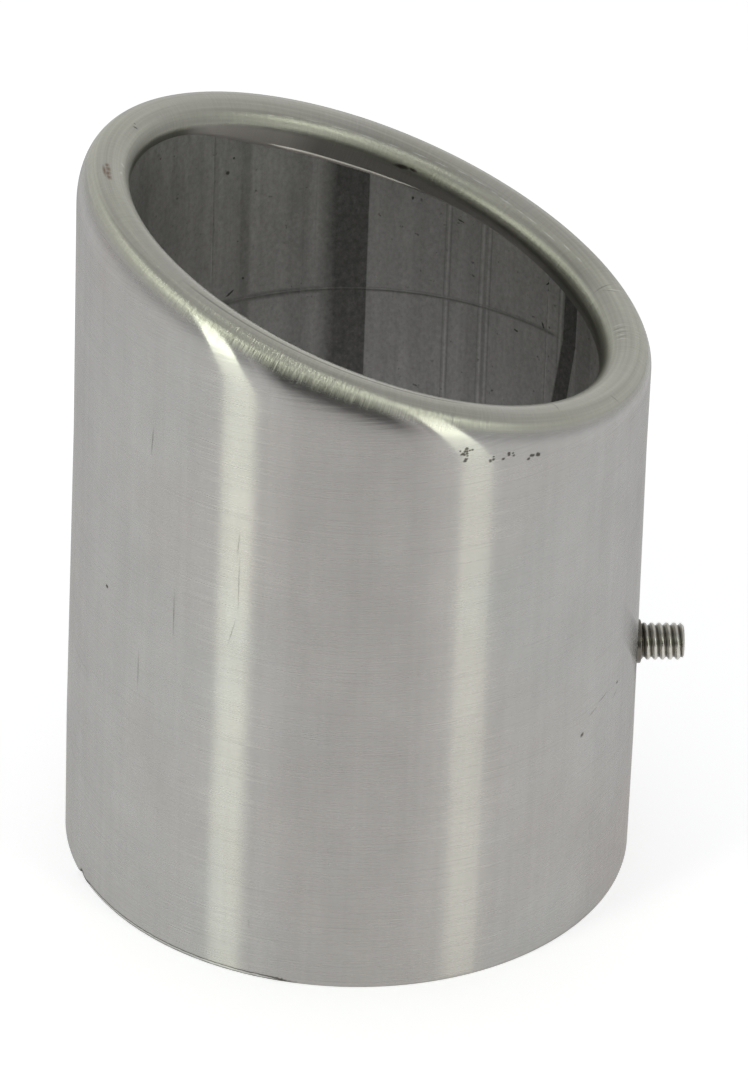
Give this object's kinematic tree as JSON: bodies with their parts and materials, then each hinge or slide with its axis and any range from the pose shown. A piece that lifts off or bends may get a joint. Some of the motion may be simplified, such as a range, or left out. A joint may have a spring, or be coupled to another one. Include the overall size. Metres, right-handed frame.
{
  "type": "exhaust tip",
  "caption": "Slash-cut stainless exhaust tip: a short open tube with an in-rolled lip along its angled mouth and a threaded stud welded to its short side.",
  "frame": {"origin": "centre of the inlet's cut edge, on the tube's axis", "axes": "+Z along the tube's axis towards the mouth, +X towards the short side that carries the stud"},
  "size_m": [0.1044, 0.0966, 0.1299],
  "materials": {
    "brushed_stainless": "brushed round the tube, mill finish inside",
    "stud_steel": "bright rolled thread, heat-tinted at the weld"
  },
  "bodies": {
    "root": {"tip_tube": "brushed_stainless", "weld_stud": "stud_steel"}
  },
  "joints": []
}
